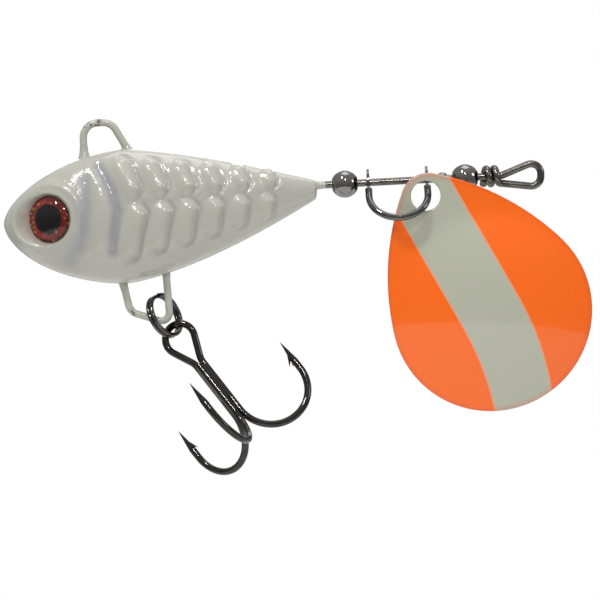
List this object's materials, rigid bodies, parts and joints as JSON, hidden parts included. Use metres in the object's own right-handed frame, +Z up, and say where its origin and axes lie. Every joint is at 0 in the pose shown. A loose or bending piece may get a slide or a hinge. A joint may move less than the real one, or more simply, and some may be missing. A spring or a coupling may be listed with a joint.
{
  "type": "tail spinner lure",
  "caption": "Sinking fish-shaped metal lure with a treble hook under its belly and a dished blade that spins on a clevis behind its tail.",
  "frame": {"origin": "middle of the line-tie loop on the fish's back", "axes": "+X from nose to tail along the tail shaft, +Z up towards the back, -Y towards the fish's left side"},
  "size_m": [0.0629, 0.0155, 0.0392],
  "materials": {
    "painted_lead": "gloss off-white paint on cast lead",
    "through_wire_steel": "drawn stainless wire, painted off-white where it leaves the body",
    "eye_foil": "printed foil, red iris round a black pupil",
    "eye_dome": "clear cast resin",
    "plated_bead": "black nickel plate",
    "plated_clevis": "black nickel plate",
    "lacquered_blade": "gloss orange lacquer with an off-white band",
    "plated_ring": "black nickel plate",
    "plated_hook": "black nickel plate",
    "plated_solder": "plated solder"
  },
  "bodies": {
    "lure_body": {"body_casting": "painted_lead", "through_wire": "through_wire_steel", "eye_foil_left": "eye_foil", "eye_dome_left": "eye_dome", "eye_foil_right": "eye_foil", "eye_dome_right": "eye_dome", "spacer_bead": "plated_bead"},
    "front_bead": {"front_bead": "plated_bead"},
    "rear_bead": {"rear_bead": "plated_bead"},
    "clevis": {"clevis": "plated_clevis"},
    "blade": {"spinner_blade": "lacquered_blade"},
    "split_ring": {"split_ring": "plated_ring"},
    "treble_hook": {"treble_double_hook": "plated_hook", "treble_single_hook": "plated_hook", "treble_braze": "plated_solder"}
  },
  "joints": [
    {"name": "front_bead_spin", "type": "hinge", "parent": "lure_body", "child": "front_bead", "pos_m": [0.0256, 0, -0.0064], "axis": [1, 0, 0], "continuous": true},
    {"name": "rear_bead_spin", "type": "hinge", "parent": "lure_body", "child": "rear_bead", "pos_m": [0.0386, 0, -0.0064], "axis": [1, 0, 0], "continuous": true},
    {"name": "clevis_spin", "type": "hinge", "parent": "lure_body", "child": "clevis", "pos_m": [0.0313, 0, -0.0064], "axis": [1, 0, 0], "continuous": true},
    {"name": "blade_swing", "type": "hinge", "parent": "clevis", "child": "blade", "pos_m": [0.0342, -0.00195, -0.0082], "axis": [0.0794, -0.9848, -0.1544], "range_deg": [-25, 10]},
    {"name": "ring_swing", "type": "hinge", "parent": "lure_body", "child": "split_ring", "pos_m": [0.00562, 0, -0.01998], "axis": [0.8191, 0, 0.5736], "range_deg": [-35, 6]},
    {"name": "hook_swing", "type": "hinge", "parent": "split_ring", "child": "treble_hook", "pos_m": [0.00639, 0, -0.02172], "axis": [-0.4568, -0.866, -0.2034], "range_deg": [-60, 30]}
  ]
}
